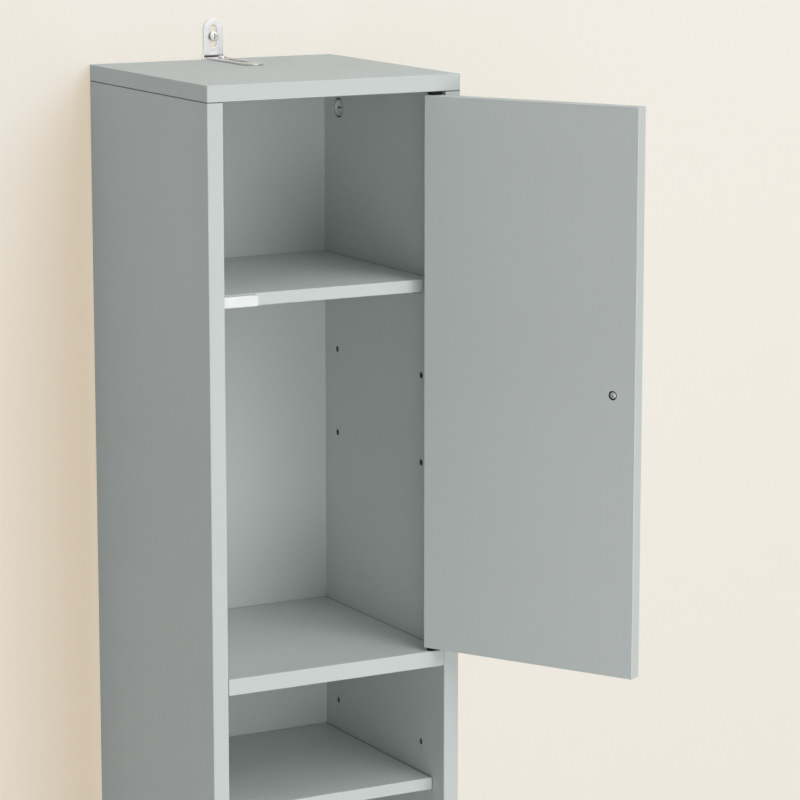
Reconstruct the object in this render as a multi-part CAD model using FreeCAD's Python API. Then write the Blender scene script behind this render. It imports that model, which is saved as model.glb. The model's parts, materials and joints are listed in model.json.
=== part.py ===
import FreeCAD, Part
import math
import os

from FreeCAD import Vector

# Narrow bathroom cabinet: a flat-pack carcass of thin boards with a cupboard at the top,
# an open section, a second cupboard below it and a recessed kick board.
# Millimetres. +X is right, +Y is towards the wall, +Z is up.
# The origin is on the floor, under the centre of the carcass.

# Carcass
CARCASS_WIDTH = 200.0
CARCASS_DEPTH = 200.0
BOARD_THICKNESS = 12.0
EDGE_EASING = 0.4
CUPBOARD_HEIGHT = 410.0
OPEN_SECTION_HEIGHT = 254.0
KICK_HEIGHT = 75.0
KICK_SETBACK = 25.0
KICK_FLOOR_GAP = 4.0

# Back panel, held in grooves
BACK_THICKNESS = 3.0
BACK_SETBACK = 10.0
GROOVE_DEPTH = 4.0
GROOVE_CLEARANCE = 0.2
BACK_EDGE_CLEARANCE = 0.5

# Adjustable shelves
SHELF_THICKNESS = 9.0
SHELF_SIDE_CLEARANCE = 0.5
SHELF_BACK_CLEARANCE = 0.5

# Shelf pins: a round peg in the side panel and a half-round seat under the shelf
PIN_RADIUS = 2.5
PIN_BORE_FLOOR = 3.5
PIN_TIP_CLEARANCE = 0.5
PIN_SEAT_RADIUS = 4.0
PIN_SEAT_LENGTH = 9.0
PIN_FRONT_LINE = 35.5
PIN_BACK_LINE = 32.5
CUPBOARD_FIRST_ROW = 146.0
CUPBOARD_ROW_PITCH = 65.0
CUPBOARD_ROW_MARGIN = 120.0
OPEN_FIRST_ROW = 67.0
OPEN_ROW_PITCH = 32.0
OPEN_ROW_MARGIN = 50.0
CUPBOARD_SHELF_ROW = 0
OPEN_SHELF_ROW = 1

# Door stops: plastic blocks on the front edge of the cupboard shelves
STOP_LENGTH = 30.0
STOP_THICKNESS = 6.2
STOP_EDGE_MARGIN = 0.5
STOP_END_MARGIN = 1.0
STOP_EASING = 0.6
STOP_GAP = 0.3

# Doors
DOOR_THICKNESS = 10.5
DOOR_END_GAP = 2.5
DOOR_HINGE_GAP = 2.4
DOOR_FREE_GAP = 1.6
DOOR_OPEN_ANGLE = 119.5
SWING_CLEARANCE = 0.3

# Pivots: a pin with a collar, fast in the carcass, on which the door turns
PIVOT_DEPTH = 3.8
PIVOT_RADIUS = 2.0
PIVOT_RUNNING_CLEARANCE = 0.05
PIVOT_PIN_LENGTH = 12.0
PIVOT_TIP_CLEARANCE = 1.0
PIVOT_ROOT_LENGTH = 8.0
COLLAR_RADIUS = 5.0
COLLAR_END_CLEARANCE = 0.3
COLLAR_FRONT_CLEARANCE = 0.2

# Knobs and their screws
KNOB_FROM_EDGE = 18.0
KNOB_HEAD_RADIUS = 10.0
KNOB_NECK_RADIUS = 4.5
KNOB_BASE_RADIUS = 6.5
KNOB_BASE_HEIGHT = 2.0
KNOB_NECK_HEIGHT = 8.0
KNOB_RIM_HEIGHT = 3.5
KNOB_CROWN_HEIGHT = 4.5
KNOB_THREAD_DEPTH = 9.0
KNOB_BORE_SPARE = 1.0
KNOB_SCREW_RADIUS = 1.75
KNOB_SCREW_CLEARANCE = 0.25
KNOB_SCREW_HEAD_RADIUS = 2.5
KNOB_SCREW_HEAD_HEIGHT = 2.7
COUNTERBORE_CLEARANCE = 0.9
COUNTERBORE_DEPTH = 3.0

# Cam joints and dowels
CAM_RADIUS = 7.5
CAM_BORE_FLOOR = 2.5
CAM_CENTRE = 25.5
CAM_LINE = 36.0
CAM_SLOT_LENGTH = 8.4
CAM_SLOT_WIDTH = 1.9
CAM_SLOT_DEPTH = 1.5
BOLT_THREAD_RADIUS = 3.0
BOLT_BORE_FLOOR = 3.0
BOLT_SHANK_RADIUS = 2.2
BOLT_HEAD_RADIUS = 3.2
BOLT_HEAD_HEIGHT = 3.0
BOLT_CHANNEL_CLEARANCE = 0.4
DOWEL_RADIUS = 3.0
DOWEL_LINE = 36.0
DOWEL_HOST_LENGTH = 15.0
DOWEL_BORE_FLOOR = 3.0
DOWEL_TIP_CLEARANCE = 1.0
DOWEL_EASING = 0.6
KICK_DOWEL_SPACING = 35.0

# Foot glides under the side panels
GLIDE_RADIUS = 5.0
GLIDE_HEIGHT = 3.0
GLIDE_EASING = 0.8
GLIDE_STEM_RADIUS = 1.5
GLIDE_STEM_LENGTH = 10.0
GLIDE_STEM_CLEARANCE = 0.5
GLIDE_FROM_EDGE = 16.0

# Anti-tip bracket and its screws
WALL_GAP = 4.0
BRACKET_OFFSET = 2.5
BRACKET_WIDTH = 16.0
BRACKET_THICKNESS = 1.5
BRACKET_BEND_RADIUS = 1.2
BRACKET_FLAT_LENGTH = 75.0
BRACKET_UPRIGHT_HEIGHT = 30.0
BRACKET_SLOT_WIDTH = 5.4
WALL_SLOT_LENGTH = 16.8
WALL_SLOT_TOP_MARGIN = 4.6
FLAT_SLOT_TIP_MARGIN = 15.0
FLAT_SLOT_SCREW_MARGIN = 7.0
BRACKET_SCREW_FROM_WALL = 16.0
BRACKET_SCREW_RADIUS = 1.5
BRACKET_SCREW_FLOOR = 1.5
BRACKET_SCREW_HEAD_RADIUS = 3.2
BRACKET_SCREW_HEAD_HEIGHT = 1.8
WALL_SCREW_RADIUS = 2.0
WALL_SCREW_HEAD_RADIUS = 3.7
WALL_SCREW_HEAD_HEIGHT = 2.0
WALL_SCREW_REACH = 30.0
WALL_SCREW_POINT = 4.0
CROSS_LENGTH = 3.6
CROSS_WIDTH = 0.9
CROSS_DEPTH = 1.1

# Faces and levels of the carcass
half_width = CARCASS_WIDTH / 2
inner_x = half_width - BOARD_THICKNESS
front_y = -CARCASS_DEPTH / 2
rear_y = CARCASS_DEPTH / 2
back_face_y = rear_y - BACK_SETBACK - BACK_THICKNESS
foot_z = GLIDE_HEIGHT
bottom_z = foot_z + KICK_HEIGHT
lower_floor_z = bottom_z + BOARD_THICKNESS
lower_fixed_z = lower_floor_z + CUPBOARD_HEIGHT
open_floor_z = lower_fixed_z + BOARD_THICKNESS
upper_fixed_z = open_floor_z + OPEN_SECTION_HEIGHT
upper_floor_z = upper_fixed_z + BOARD_THICKNESS
top_z = upper_floor_z + CUPBOARD_HEIGHT
crown_z = top_z + BOARD_THICKNESS

# The open door's outer face just clears the right panel's front corner, which sets how far
# the pivot stands from that panel.
lean = math.radians(DOOR_OPEN_ANGLE - 90.0)
pivot_inset = (PIVOT_DEPTH * (1.0 + math.sin(lean)) + SWING_CLEARANCE) / math.cos(lean)
pivot_x = inner_x - pivot_inset
pivot_y = front_y + PIVOT_DEPTH
collar_thickness = DOOR_END_GAP - COLLAR_END_CLEARANCE

shelf_front_y = front_y + DOOR_THICKNESS + STOP_GAP + STOP_THICKNESS
cam_y = rear_y - CAM_LINE
dowel_y = front_y + DOWEL_LINE
half_board = BOARD_THICKNESS / 2
wall_y = rear_y + WALL_GAP

X = Vector(1, 0, 0)
Y = Vector(0, 1, 0)
Z = Vector(0, 0, 1)
SIDES = (("left", -1), ("right", 1))


def box(x0, x1, y0, y1, z0, z1):
    """A plain box between two corners."""
    return Part.makeBox(x1 - x0, y1 - y0, z1 - z0, Vector(x0, y0, z0))


def board(x0, x1, y0, y1, z0, z1, easing=EDGE_EASING):
    """A board with lightly eased edges."""
    blank = box(x0, x1, y0, y1, z0, z1)
    return blank.makeChamfer(easing, blank.Edges)


def bar(radius, length, start, along):
    """A round bar from a start point."""
    return Part.makeCylinder(radius, length, start, along)


def lathe(*profile):
    """A solid turned about +Z from (radius, height) corners that begin and end on the axis."""
    corners = [Vector(radius, 0, height) for radius, height in profile]
    outline = Part.makePolygon(corners + corners[:1])
    return Part.Face(outline).revolve(Vector(), Z, 360)


def aim(shape, origin, axis):
    """Places a piece that was modelled along +Z so that it points along an axis."""
    placed = shape.copy()
    placed.Placement = FreeCAD.Placement(origin, FreeCAD.Rotation(Z, axis))
    return placed


def cross(length, width, depth, top):
    """A cross-shaped driver recess that goes down from a height on the +Z axis."""
    long_arm = box(-length / 2, length / 2, -width / 2, width / 2, top - depth, top)
    return long_arm.fuse(box(-width / 2, width / 2, -length / 2, length / 2, top - depth, top))


class Cabinet:
    """The pieces by node name, and the cuts that each one takes before it is written."""

    def __init__(self):
        self.pieces = {}
        self.cuts = {}

    def add(self, node, solid):
        """Adds a solid to a node."""
        self.pieces.setdefault(node, []).append(solid)

    def cut(self, node, tool):
        """Keeps a shape to cut away from a node of one solid."""
        self.cuts.setdefault(node, []).append(tool)

    def write(self):
        """Writes one file for each node."""
        os.makedirs("parts", exist_ok=True)
        for node, solids in self.pieces.items():
            shape = solids[0] if len(solids) == 1 else Part.makeCompound(solids)
            if node in self.cuts:
                shape = shape.cut(self.cuts[node])
            shape.exportStep(f"parts/{node}.step")


def add_boards(cabinet):
    """The carcass boards and the back panel with its grooves."""
    cabinet.add("top_panel", board(-half_width, half_width, front_y, rear_y, top_z, crown_z))
    cabinet.add("left_side_panel", board(-half_width, -inner_x, front_y, rear_y, foot_z, top_z))
    cabinet.add("right_side_panel", board(inner_x, half_width, front_y, rear_y, foot_z, top_z))
    cabinet.add("bottom_panel", board(-inner_x, inner_x, front_y, rear_y, bottom_z, lower_floor_z))
    for node, under, over in (
        ("lower_fixed_shelf", lower_fixed_z, open_floor_z),
        ("upper_fixed_shelf", upper_fixed_z, upper_floor_z),
    ):
        cabinet.add(node, board(-inner_x, inner_x, front_y, back_face_y, under, over))
    kick_y = front_y + KICK_SETBACK
    cabinet.add(
        "kick_board",
        board(-inner_x, inner_x, kick_y, kick_y + BOARD_THICKNESS, foot_z + KICK_FLOOR_GAP, bottom_z),
    )

    groove_x = inner_x + GROOVE_DEPTH
    groove_low = lower_floor_z - GROOVE_DEPTH
    groove_high = top_z + GROOVE_DEPTH
    groove_rear = back_face_y + BACK_THICKNESS + GROOVE_CLEARANCE
    groove = box(-groove_x, groove_x, back_face_y, groove_rear, groove_low, groove_high)
    for node in ("left_side_panel", "right_side_panel", "top_panel", "bottom_panel"):
        cabinet.cut(node, groove)
    edge_x = groove_x - BACK_EDGE_CLEARANCE
    cabinet.add(
        "back_panel",
        box(
            -edge_x,
            edge_x,
            back_face_y,
            back_face_y + BACK_THICKNESS,
            groove_low,
            groove_high - BACK_EDGE_CLEARANCE,
        ),
    )


def add_cam_joint(cabinet, host, mate, seam, into, face):
    """A cam lock in the host board that draws in a bolt screwed into the mating board.

    seam is the point on the joint's face, into points from it into the host board, and face
    points out of the side of the host board that the cam is let into.
    """
    centre = seam + into * CAM_CENTRE
    cam_depth = BOARD_THICKNESS - CAM_BORE_FLOOR
    channel_radius = BOLT_HEAD_RADIUS + BOLT_CHANNEL_CLEARANCE
    channel_end = CAM_CENTRE + BOLT_HEAD_HEIGHT / 2 + BOLT_CHANNEL_CLEARANCE
    thread_length = BOARD_THICKNESS - BOLT_BORE_FLOOR
    head_start = CAM_CENTRE - BOLT_HEAD_HEIGHT / 2

    cam = lathe((0, 0), (CAM_RADIUS, 0), (CAM_RADIUS, cam_depth), (0, cam_depth))
    slot_x = CAM_SLOT_WIDTH / 2
    slot_y = CAM_SLOT_LENGTH / 2
    cam = cam.cut(box(-slot_x, slot_x, -slot_y, slot_y, cam_depth - CAM_SLOT_DEPTH, cam_depth))
    cam_floor = centre + face * (half_board - cam_depth)
    channel = bar(channel_radius, channel_end, seam, into)
    cabinet.add("cam_locks", aim(cam, cam_floor, face).cut(channel))
    cabinet.cut(host, bar(CAM_RADIUS, cam_depth, cam_floor, face))
    cabinet.cut(host, channel)

    bolt = lathe(
        (0, -thread_length),
        (BOLT_THREAD_RADIUS, -thread_length),
        (BOLT_THREAD_RADIUS, 0),
        (BOLT_SHANK_RADIUS, 0),
        (BOLT_SHANK_RADIUS, head_start),
        (BOLT_HEAD_RADIUS, head_start),
        (BOLT_HEAD_RADIUS, head_start + BOLT_HEAD_HEIGHT),
        (0, head_start + BOLT_HEAD_HEIGHT),
    )
    cabinet.add("cam_bolts", aim(bolt, seam, into))
    cabinet.cut(mate, bar(BOLT_THREAD_RADIUS, thread_length, seam, -into))


def add_dowel(cabinet, host, mate, seam, into):
    """A glued dowel across a joint, deeper in the host board than in the mating one."""
    mate_length = BOARD_THICKNESS - DOWEL_BORE_FLOOR
    shoulder = DOWEL_RADIUS - DOWEL_EASING
    dowel = lathe(
        (0, -mate_length),
        (shoulder, -mate_length),
        (DOWEL_RADIUS, DOWEL_EASING - mate_length),
        (DOWEL_RADIUS, DOWEL_HOST_LENGTH - DOWEL_EASING),
        (shoulder, DOWEL_HOST_LENGTH),
        (0, DOWEL_HOST_LENGTH),
    )
    cabinet.add("wooden_dowels", aim(dowel, seam, into))
    cabinet.cut(host, bar(DOWEL_RADIUS, DOWEL_HOST_LENGTH + DOWEL_TIP_CLEARANCE, seam, into))
    cabinet.cut(mate, bar(DOWEL_RADIUS, mate_length, seam, -into))


def add_joints(cabinet):
    """A cam at the back and a dowel at the front of every board end, and the kick board's dowels."""
    kick_mid_y = front_y + KICK_SETBACK + half_board
    kick_mid_z = (foot_z + KICK_FLOOR_GAP + bottom_z) / 2
    for side, sign in SIDES:
        panel = f"{side}_side_panel"
        inwards = X * -sign
        panel_mid_x = sign * (half_width - half_board)
        add_cam_joint(cabinet, panel, "top_panel", Vector(panel_mid_x, cam_y, top_z), -Z, inwards)
        add_dowel(cabinet, panel, "top_panel", Vector(panel_mid_x, dowel_y, top_z), -Z)
        for shelf, under in (
            ("upper_fixed_shelf", upper_fixed_z),
            ("lower_fixed_shelf", lower_fixed_z),
            ("bottom_panel", bottom_z),
        ):
            mid_z = under + half_board
            add_cam_joint(cabinet, shelf, panel, Vector(sign * inner_x, cam_y, mid_z), inwards, -Z)
            add_dowel(cabinet, shelf, panel, Vector(sign * inner_x, dowel_y, mid_z), inwards)
        for step in (-0.5, 0.5):
            seam = Vector(sign * inner_x, kick_mid_y, kick_mid_z + step * KICK_DOWEL_SPACING)
            add_dowel(cabinet, "kick_board", panel, seam, inwards)


def row_heights(ceiling_z, height, first, pitch, margin):
    """Heights of the shelf-pin rows in a compartment, from the top one down."""
    count = 1 + int((height - margin - first) // pitch)
    return [ceiling_z - first - step * pitch for step in range(count)]


def add_shelf_pin(cabinet, node, sign, y, z):
    """A shelf pin in a side panel, with its flat seat level with the peg's axis."""
    mouth = Vector(sign * inner_x, y, z)
    outwards = X * sign
    peg_length = BOARD_THICKNESS - PIN_BORE_FLOOR - PIN_TIP_CLEARANCE
    peg = bar(PIN_RADIUS, peg_length, mouth, outwards)
    seat = bar(PIN_SEAT_RADIUS, PIN_SEAT_LENGTH, mouth, -outwards)
    upper_half = box(
        -half_width, half_width, y - PIN_SEAT_RADIUS, y + PIN_SEAT_RADIUS, z, z + PIN_SEAT_RADIUS
    )
    cabinet.add(node, peg.fuse(seat.cut(upper_half)))


def add_adjustable_shelf(cabinet, section, rows, shelf_row):
    """The rows of pin holes in a compartment, and the shelf on its pins in one of them."""
    lines = (front_y + PIN_FRONT_LINE, rear_y - PIN_BACK_LINE)
    bore_depth = BOARD_THICKNESS - PIN_BORE_FLOOR
    for side, sign in SIDES:
        for y in lines:
            for z in rows:
                bore = bar(PIN_RADIUS, bore_depth, Vector(sign * inner_x, y, z), X * sign)
                cabinet.cut(f"{side}_side_panel", bore)
            add_shelf_pin(cabinet, f"{section}_shelf_pins", sign, y, rows[shelf_row])
    seat_z = rows[shelf_row]
    shelf_x = inner_x - SHELF_SIDE_CLEARANCE
    shelf_rear = back_face_y - SHELF_BACK_CLEARANCE
    cabinet.add(
        f"{section}_adjustable_shelf",
        board(-shelf_x, shelf_x, shelf_front_y, shelf_rear, seat_z, seat_z + SHELF_THICKNESS),
    )


def add_door_stop(cabinet, section, seat_z):
    """The block on a cupboard shelf's front edge that the closed door comes to rest on."""
    stop_x = SHELF_SIDE_CLEARANCE + STOP_END_MARGIN - inner_x
    stop_y = shelf_front_y - STOP_THICKNESS
    low = seat_z + STOP_EDGE_MARGIN
    high = seat_z + SHELF_THICKNESS - STOP_EDGE_MARGIN
    cabinet.add(
        f"{section}_door_stop",
        board(stop_x, stop_x + STOP_LENGTH, stop_y, shelf_front_y, low, high, STOP_EASING),
    )


def add_pivot(cabinet, node, panel, face_z, towards_door):
    """A collared pin set in a horizontal board, with its collar cut flat behind the front edge."""
    pin_end = collar_thickness + PIVOT_PIN_LENGTH
    pin = lathe(
        (0, -PIVOT_ROOT_LENGTH),
        (PIVOT_RADIUS, -PIVOT_ROOT_LENGTH),
        (PIVOT_RADIUS, 0),
        (COLLAR_RADIUS, 0),
        (COLLAR_RADIUS, collar_thickness),
        (PIVOT_RADIUS, collar_thickness),
        (PIVOT_RADIUS, pin_end),
        (0, pin_end),
    )
    seat = Vector(pivot_x, pivot_y, face_z)
    flat_y = front_y + COLLAR_FRONT_CLEARANCE
    beyond = box(
        pivot_x - COLLAR_RADIUS,
        pivot_x + COLLAR_RADIUS,
        flat_y - COLLAR_RADIUS,
        flat_y,
        face_z - pin_end,
        face_z + pin_end,
    )
    cabinet.add(node, aim(pin, seat, towards_door).cut(beyond))
    cabinet.cut(panel, bar(PIVOT_RADIUS, PIVOT_ROOT_LENGTH, seat, -towards_door))


def knob():
    """A turned knob along +Z from its base, with a blind threaded hole in the base."""
    rim_low = KNOB_BASE_HEIGHT + KNOB_NECK_HEIGHT
    rim_high = rim_low + KNOB_RIM_HEIGHT
    crown_top = rim_high + KNOB_CROWN_HEIGHT
    crown_radius = (KNOB_HEAD_RADIUS**2 + KNOB_CROWN_HEIGHT**2) / (2 * KNOB_CROWN_HEIGHT)
    half_turn = math.asin(KNOB_HEAD_RADIUS / crown_radius) / 2
    crown_centre_z = crown_top - crown_radius
    crown_mid = Vector(
        crown_radius * math.sin(half_turn), 0, crown_centre_z + crown_radius * math.cos(half_turn)
    )
    corners = [
        Vector(0, 0, 0),
        Vector(KNOB_BASE_RADIUS, 0, 0),
        Vector(KNOB_BASE_RADIUS, 0, KNOB_BASE_HEIGHT),
        Vector(KNOB_NECK_RADIUS, 0, KNOB_BASE_HEIGHT),
        Vector(KNOB_NECK_RADIUS, 0, (KNOB_BASE_HEIGHT + rim_low) / 2),
        Vector(KNOB_HEAD_RADIUS, 0, rim_low),
        Vector(KNOB_HEAD_RADIUS, 0, rim_high),
    ]
    edges = [Part.LineSegment(start, end).toShape() for start, end in zip(corners, corners[1:])]
    edges.append(Part.Arc(corners[-1], crown_mid, Vector(0, 0, crown_top)).toShape())
    edges.append(Part.LineSegment(Vector(0, 0, crown_top), corners[0]).toShape())
    turned = Part.Face(Part.Wire(edges)).revolve(Vector(), Z, 360)
    return turned.cut(bar(KNOB_SCREW_RADIUS, KNOB_THREAD_DEPTH + KNOB_BORE_SPARE, Vector(), Z))


def add_door(cabinet, section, floor_z, angle):
    """A door with its knob and screw, modelled shut and then swung about its pivots."""
    low = floor_z + DOOR_END_GAP
    high = floor_z + CUPBOARD_HEIGHT - DOOR_END_GAP
    free_x = DOOR_FREE_GAP - inner_x
    inner_face_y = front_y + DOOR_THICKNESS
    leaf = board(free_x, inner_x - DOOR_HINGE_GAP, front_y, inner_face_y, low, high)

    bore_radius = PIVOT_RADIUS + PIVOT_RUNNING_CLEARANCE
    bore_depth = PIVOT_PIN_LENGTH - COLLAR_END_CLEARANCE + PIVOT_TIP_CLEARANCE
    leaf = leaf.cut(bar(bore_radius, bore_depth, Vector(pivot_x, pivot_y, low), Z))
    leaf = leaf.cut(bar(bore_radius, bore_depth, Vector(pivot_x, pivot_y, high), -Z))

    knob_seat = Vector(free_x + KNOB_FROM_EDGE, front_y, (low + high) / 2)
    grip = DOOR_THICKNESS - COUNTERBORE_DEPTH
    counterbore_radius = KNOB_SCREW_HEAD_RADIUS + COUNTERBORE_CLEARANCE
    leaf = leaf.cut(bar(KNOB_SCREW_RADIUS + KNOB_SCREW_CLEARANCE, DOOR_THICKNESS, knob_seat, Y))
    leaf = leaf.cut(bar(counterbore_radius, COUNTERBORE_DEPTH, knob_seat + Y * grip, Y))

    screw = lathe(
        (0, -grip - KNOB_THREAD_DEPTH),
        (KNOB_SCREW_RADIUS, -grip - KNOB_THREAD_DEPTH),
        (KNOB_SCREW_RADIUS, 0),
        (KNOB_SCREW_HEAD_RADIUS, 0),
        (KNOB_SCREW_HEAD_RADIUS, KNOB_SCREW_HEAD_HEIGHT),
        (0, KNOB_SCREW_HEAD_HEIGHT),
    )
    screw = screw.cut(cross(CROSS_LENGTH, CROSS_WIDTH, CROSS_DEPTH, KNOB_SCREW_HEAD_HEIGHT))

    for node, piece in (
        (f"{section}_door", leaf),
        (f"{section}_door_knob", aim(knob(), knob_seat, -Y)),
        (f"{section}_knob_screw", aim(screw, knob_seat + Y * grip, Y)),
    ):
        cabinet.add(node, piece.rotated(Vector(pivot_x, pivot_y, 0), Z, angle))


def add_foot_glides(cabinet):
    """Push-in glides under the front and rear of each side panel."""
    glide = lathe(
        (0, 0),
        (GLIDE_RADIUS - GLIDE_EASING, 0),
        (GLIDE_RADIUS, GLIDE_EASING),
        (GLIDE_RADIUS, GLIDE_HEIGHT),
        (GLIDE_STEM_RADIUS, GLIDE_HEIGHT),
        (GLIDE_STEM_RADIUS, GLIDE_HEIGHT + GLIDE_STEM_LENGTH),
        (0, GLIDE_HEIGHT + GLIDE_STEM_LENGTH),
    )
    for side, sign in SIDES:
        for y in (front_y + GLIDE_FROM_EDGE, rear_y - GLIDE_FROM_EDGE):
            place = Vector(sign * (half_width - half_board), y, 0)
            cabinet.add("foot_glides", aim(glide, place, Z))
            stem_bore = bar(
                GLIDE_STEM_RADIUS, GLIDE_STEM_LENGTH + GLIDE_STEM_CLEARANCE, place + Z * foot_z, Z
            )
            cabinet.cut(f"{side}_side_panel", stem_bore)


def slot_cutter(start, end, width, through, depth):
    """A slot with round ends between two points, cut along the through direction."""
    cutter = bar(width / 2, depth, start, through).fuse(bar(width / 2, depth, end, through))
    run = end - start
    across = through.cross(run).normalize() * (width / 2)
    outline = Part.makePolygon([start - across, start + across, end + across, end - across, start - across])
    return cutter.fuse(Part.Face(outline).extrude(through * depth))


def bracket_blank():
    """The bent strip of the anti-tip bracket with full round ends."""
    outer_bend = BRACKET_BEND_RADIUS + BRACKET_THICKNESS
    round_end = BRACKET_WIDTH / 2
    x = BRACKET_OFFSET - round_end
    x_far = BRACKET_OFFSET + round_end
    tip_y = wall_y - BRACKET_FLAT_LENGTH
    peak_z = crown_z + BRACKET_UPRIGHT_HEIGHT
    bend_y = wall_y - outer_bend
    bend_z = crown_z + outer_bend

    flat = box(x, x_far, tip_y, bend_y, crown_z, crown_z + BRACKET_THICKNESS)
    upright = box(x, x_far, wall_y - BRACKET_THICKNESS, wall_y, bend_z, peak_z)
    bend_axis = Vector(x, bend_y, bend_z)
    ring = bar(outer_bend, BRACKET_WIDTH, bend_axis, X)
    ring = ring.cut(bar(BRACKET_BEND_RADIUS, BRACKET_WIDTH, bend_axis, X))
    bend = ring.common(box(x, x_far, bend_y, wall_y, crown_z, bend_z))
    strip = flat.fuse([upright, bend]).removeSplitter()

    tip_plan = bar(round_end, BRACKET_UPRIGHT_HEIGHT, Vector(BRACKET_OFFSET, tip_y + round_end, crown_z), Z)
    tip_plan = tip_plan.fuse(box(x, x_far, tip_y + round_end, wall_y, crown_z, peak_z))
    peak_seat = Vector(BRACKET_OFFSET, tip_y, peak_z - round_end)
    peak_plan = bar(round_end, BRACKET_FLAT_LENGTH, peak_seat, Y)
    peak_plan = peak_plan.fuse(box(x, x_far, tip_y, wall_y, crown_z, peak_z - round_end))
    return strip.common(tip_plan).common(peak_plan)


def add_bracket(cabinet):
    """The anti-tip bracket, the screw into the top panel and the screw into the wall."""
    screw_seat = Vector(BRACKET_OFFSET, wall_y - BRACKET_SCREW_FROM_WALL, crown_z + BRACKET_THICKNESS)
    slot_end = BRACKET_SLOT_WIDTH / 2
    flat_start = Vector(BRACKET_OFFSET, screw_seat.y - FLAT_SLOT_SCREW_MARGIN - slot_end, crown_z)
    flat_end = Vector(
        BRACKET_OFFSET, wall_y - BRACKET_FLAT_LENGTH + FLAT_SLOT_TIP_MARGIN + slot_end, crown_z
    )
    peak_z = crown_z + BRACKET_UPRIGHT_HEIGHT
    high = Vector(BRACKET_OFFSET, wall_y, peak_z - WALL_SLOT_TOP_MARGIN - slot_end)
    low = high - Z * (WALL_SLOT_LENGTH - BRACKET_SLOT_WIDTH)
    head_seat = (high + low) * 0.5 - Y * BRACKET_THICKNESS

    bracket = bracket_blank()
    bracket = bracket.cut(slot_cutter(flat_start, flat_end, BRACKET_SLOT_WIDTH, Z, BRACKET_THICKNESS))
    bracket = bracket.cut(slot_cutter(low, high, BRACKET_SLOT_WIDTH, -Y, BRACKET_THICKNESS))
    bracket = bracket.cut(bar(BRACKET_SCREW_RADIUS, BRACKET_THICKNESS, screw_seat, -Z))
    cabinet.add("wall_bracket", bracket)

    bite = BOARD_THICKNESS - GROOVE_DEPTH - BRACKET_SCREW_FLOOR
    shank = BRACKET_THICKNESS + bite
    screw = lathe(
        (0, -shank),
        (BRACKET_SCREW_RADIUS, -shank),
        (BRACKET_SCREW_RADIUS, 0),
        (BRACKET_SCREW_HEAD_RADIUS, 0),
        (BRACKET_SCREW_HEAD_RADIUS, BRACKET_SCREW_HEAD_HEIGHT),
        (0, BRACKET_SCREW_HEAD_HEIGHT),
    )
    screw = screw.cut(cross(CROSS_LENGTH, CROSS_WIDTH, CROSS_DEPTH, BRACKET_SCREW_HEAD_HEIGHT))
    cabinet.add("bracket_screw", aim(screw, screw_seat, Z))
    pilot_mouth = screw_seat - Z * BRACKET_THICKNESS
    cabinet.cut("top_panel", bar(BRACKET_SCREW_RADIUS, bite, pilot_mouth, -Z))

    shank = BRACKET_THICKNESS + WALL_SCREW_REACH
    wall_screw = lathe(
        (0, -shank),
        (WALL_SCREW_RADIUS, WALL_SCREW_POINT - shank),
        (WALL_SCREW_RADIUS, 0),
        (WALL_SCREW_HEAD_RADIUS, 0),
        (WALL_SCREW_HEAD_RADIUS, WALL_SCREW_HEAD_HEIGHT),
        (0, WALL_SCREW_HEAD_HEIGHT),
    )
    wall_screw = wall_screw.cut(cross(CROSS_LENGTH, CROSS_WIDTH, CROSS_DEPTH, WALL_SCREW_HEAD_HEIGHT))
    cabinet.add("wall_screw", aim(wall_screw, head_seat, -Y))


def build():
    """Builds and writes the whole cabinet, with the upper door open and the lower one shut."""
    cabinet = Cabinet()
    add_boards(cabinet)
    add_joints(cabinet)
    for section, floor_z, angle in (
        ("upper", upper_floor_z, DOOR_OPEN_ANGLE),
        ("lower", lower_floor_z, 0.0),
    ):
        ceiling_z = floor_z + CUPBOARD_HEIGHT
        rows = row_heights(
            ceiling_z, CUPBOARD_HEIGHT, CUPBOARD_FIRST_ROW, CUPBOARD_ROW_PITCH, CUPBOARD_ROW_MARGIN
        )
        add_adjustable_shelf(cabinet, section, rows, CUPBOARD_SHELF_ROW)
        add_door_stop(cabinet, section, rows[CUPBOARD_SHELF_ROW])
        add_door(cabinet, section, floor_z, angle)
    open_rows = row_heights(
        upper_fixed_z, OPEN_SECTION_HEIGHT, OPEN_FIRST_ROW, OPEN_ROW_PITCH, OPEN_ROW_MARGIN
    )
    add_adjustable_shelf(cabinet, "middle", open_rows, OPEN_SHELF_ROW)
    for node, panel, face_z, towards_door in (
        ("upper_door_top_pivot", "top_panel", top_z, -Z),
        ("upper_door_bottom_pivot", "upper_fixed_shelf", upper_floor_z, Z),
        ("lower_door_top_pivot", "lower_fixed_shelf", lower_fixed_z, -Z),
        ("lower_door_bottom_pivot", "bottom_panel", lower_floor_z, Z),
    ):
        add_pivot(cabinet, node, panel, face_z, towards_door)
    add_foot_glides(cabinet)
    add_bracket(cabinet)
    cabinet.write()


build()
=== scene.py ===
"""Looks of a narrow bathroom cabinet: its board finishes, its small fittings and a plain studio."""
import json
import logging
import math
from dataclasses import dataclass, field
from enum import Enum
from typing import Any, Optional, Sequence, Union

import bmesh
import bpy
from mathutils import Matrix, Vector


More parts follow.
